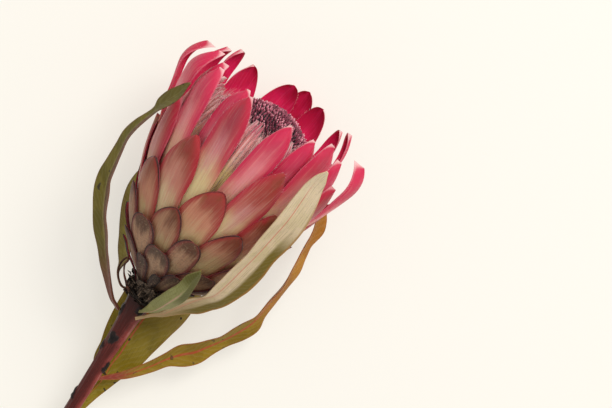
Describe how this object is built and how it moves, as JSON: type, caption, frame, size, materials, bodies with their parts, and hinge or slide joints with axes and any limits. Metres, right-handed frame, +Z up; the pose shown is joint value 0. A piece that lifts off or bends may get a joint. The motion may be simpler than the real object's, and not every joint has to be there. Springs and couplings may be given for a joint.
{
  "type": "protea cut flower",
  "caption": "Cut pink protea head with overlapping bracts round a dome of florets, on a short leafy stem, lying down.",
  "frame": {"origin": "middle of the flat spot under the head, on the surface that the flower lies on", "axes": "+X from the stem's cut end towards the bracts' tips, +Z up from the surface"},
  "size_m": [0.2211, 0.0969, 0.0829],
  "materials": {
    "scale_brown": "matte",
    "bract_pink": "satin",
    "floret_silk": "matte",
    "stem_bark": "satin",
    "leaf_olive": "satin",
    "leaf_pale": "satin",
    "leaf_ochre": "satin",
    "remnant_brown": "matte"
  },
  "bodies": {
    "root": {"basal_scales": "scale_brown", "bracts": "bract_pink", "florets": "floret_silk", "stem": "stem_bark", "leaf_left_arching": "leaf_olive", "leaf_behind_left": "leaf_olive", "leaf_small_front": "leaf_pale", "leaf_front_right": "leaf_pale", "leaf_lower_right": "leaf_ochre", "leaf_broad_behind": "leaf_ochre", "curled_leaf_remnant": "remnant_brown"}
  },
  "joints": []
}
